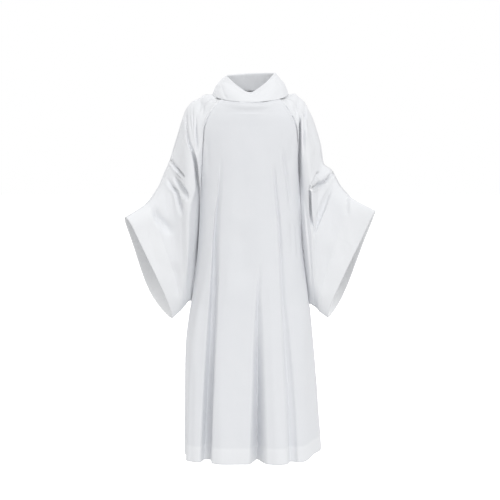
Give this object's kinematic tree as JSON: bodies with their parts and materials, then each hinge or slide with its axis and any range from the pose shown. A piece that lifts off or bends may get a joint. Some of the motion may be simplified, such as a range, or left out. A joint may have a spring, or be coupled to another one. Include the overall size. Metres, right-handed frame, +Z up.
{
  "type": "alb robe",
  "caption": "Long white pull-on robe, worn shape left hollow: fold-over cowl collar, raglan seams, wide bell sleeves held out, flared skirt with soft hanging folds and deep turned hems.",
  "frame": {"origin": "middle of the neck opening at shoulder height, where the wearer's neck holds the robe", "axes": "+Z up along the robe, +X to the wearer's left, front faces -Y"},
  "size_m": [0.97, 0.3996, 1.5],
  "materials": {
    "body_front": "matte, fine plain weave",
    "body_back": "matte, fine plain weave",
    "sleeve_left_front": "matte, fine plain weave",
    "sleeve_left_back": "matte, fine plain weave",
    "sleeve_right_front": "matte, fine plain weave",
    "sleeve_right_back": "matte, fine plain weave",
    "collar": "matte, fine plain weave",
    "cuff_hem_left_front": "matte, fine plain weave",
    "cuff_hem_left_back": "matte, fine plain weave",
    "cuff_hem_right_front": "matte, fine plain weave",
    "cuff_hem_right_back": "matte, fine plain weave",
    "hem_front": "matte, fine plain weave",
    "hem_back": "matte, fine plain weave"
  },
  "bodies": {
    "root": {"body_front": "body_front", "body_back": "body_back", "sleeve_left_front": "sleeve_left_front", "sleeve_left_back": "sleeve_left_back", "sleeve_right_front": "sleeve_right_front", "sleeve_right_back": "sleeve_right_back", "collar": "collar", "cuff_hem_left_front": "cuff_hem_left_front", "cuff_hem_left_back": "cuff_hem_left_back", "cuff_hem_right_front": "cuff_hem_right_front", "cuff_hem_right_back": "cuff_hem_right_back", "hem_front": "hem_front", "hem_back": "hem_back"}
  },
  "joints": []
}
